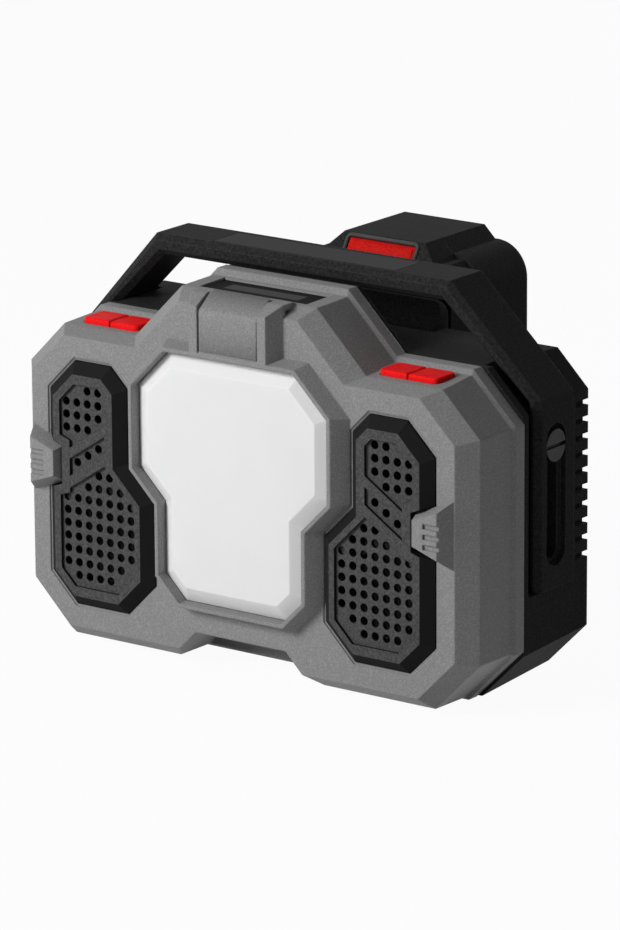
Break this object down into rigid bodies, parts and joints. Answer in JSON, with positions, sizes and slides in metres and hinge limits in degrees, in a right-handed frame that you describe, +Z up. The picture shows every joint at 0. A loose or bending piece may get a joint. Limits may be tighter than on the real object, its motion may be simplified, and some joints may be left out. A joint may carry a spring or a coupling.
{
  "type": "jobsite radio",
  "caption": "Cordless jobsite speaker with a work lamp between its grilles, a sliding carry handle and a slide-on battery pack.",
  "frame": {"origin": "on the ground under the middle of the object's bounding box", "axes": "+X to the right seen from the front, +Y to the back, +Z up"},
  "size_m": [0.217, 0.145, 0.1588],
  "materials": {
    "grey_plastic": "fine spark-eroded texture",
    "black_plastic": "fine texture",
    "black_grille": "fine texture",
    "red_plastic": "satin",
    "diffuser": "satin opal",
    "white_plastic": "gloss",
    "smoked_window": "gloss",
    "rubber": "matte",
    "silicone": "matte",
    "circuit_board": "solder mask",
    "led_yellow": "gloss",
    "aluminium": "bare",
    "steel": "zinc plated",
    "dark_steel": "black zinc",
    "brass": "turned",
    "paper": "paper cone",
    "ferrite": "sintered",
    "cell_wrap": "shrink sleeve",
    "component_black": "moulded"
  },
  "bodies": {
    "body": {"front_fascia": "grey_plastic", "lens_diffuser": "diffuser", "lens_seal": "silicone", "lamp_reflector": "white_plastic", "led_board": "aluminium", "led_chips": "led_yellow", "heat_sink": "aluminium", "lamp_screws": "steel", "display_window": "smoked_window", "display_module": "smoked_window", "display_board": "circuit_board", "display_screws": "steel", "grille_right": "black_grille", "grille_left": "black_grille", "speaker_basket_right": "dark_steel", "speaker_basket_left": "dark_steel", "speaker_cone_right": "paper", "speaker_cone_left": "paper", "speaker_magnet_right": "ferrite", "speaker_magnet_left": "ferrite", "speaker_screws": "steel", "key_pad_right": "silicone", "key_pad_left": "silicone", "key_board_right": "circuit_board", "key_board_left": "circuit_board", "key_board_screws": "steel", "rear_housing": "black_plastic", "housing_screws": "steel", "rubber_feet": "rubber", "thread_inserts": "brass", "main_board": "circuit_board", "main_board_parts": "component_black", "board_screws": "steel", "battery_dock": "black_plastic", "terminal_blades": "brass", "dock_screws": "steel"},
    "handle_frame": {"handle": "black_plastic"},
    "clamp_right": {"coin_screw_right": "dark_steel"},
    "clamp_left": {"coin_screw_left": "dark_steel"},
    "key_ri": {"key_right_inner": "red_plastic"},
    "key_ro": {"key_right_outer": "red_plastic"},
    "key_li": {"key_left_inner": "red_plastic"},
    "key_lo": {"key_left_outer": "red_plastic"},
    "battery_pack": {"battery_front_case": "black_plastic", "battery_rear_case": "black_plastic", "battery_cells": "cell_wrap", "cell_strips": "steel", "battery_board": "circuit_board", "battery_screws": "steel"},
    "release_button": {"battery_release": "red_plastic"}
  },
  "joints": [
    {"name": "handle_slide", "type": "slide", "parent": "body", "child": "handle_frame", "axis": [0, 0, 1], "range_m": [0, 0.04]},
    {"name": "clamp_right_turn", "type": "hinge", "parent": "body", "child": "clamp_right", "pos_m": [0.106, -0.0119, 0.0981], "axis": [1, 0, 0], "range_deg": [0, 360]},
    {"name": "clamp_left_turn", "type": "hinge", "parent": "body", "child": "clamp_left", "pos_m": [-0.106, -0.0119, 0.0981], "axis": [-1, 0, 0], "range_deg": [0, 360]},
    {"name": "key_right_inner_press", "type": "slide", "parent": "body", "child": "key_ri", "axis": [0, 0, -1], "range_m": [0, 0.001], "stiffness_N_per_m": 600, "springref_m": -0.0008},
    {"name": "key_right_outer_press", "type": "slide", "parent": "body", "child": "key_ro", "axis": [0, 0, -1], "range_m": [0, 0.001], "stiffness_N_per_m": 600, "springref_m": -0.0008},
    {"name": "key_left_inner_press", "type": "slide", "parent": "body", "child": "key_li", "axis": [0, 0, -1], "range_m": [0, 0.001], "stiffness_N_per_m": 600, "springref_m": -0.0008},
    {"name": "key_left_outer_press", "type": "slide", "parent": "body", "child": "key_lo", "axis": [0, 0, -1], "range_m": [0, 0.001], "stiffness_N_per_m": 600, "springref_m": -0.0008},
    {"name": "battery_lift", "type": "slide", "parent": "body", "child": "battery_pack", "axis": [0, 0, 1], "range_m": [0, 0.09]},
    {"name": "release_press", "type": "slide", "parent": "battery_pack", "child": "release_button", "axis": [0, 1, 0], "range_m": [0, 0.003], "stiffness_N_per_m": 500, "springref_m": -0.001}
  ]
}
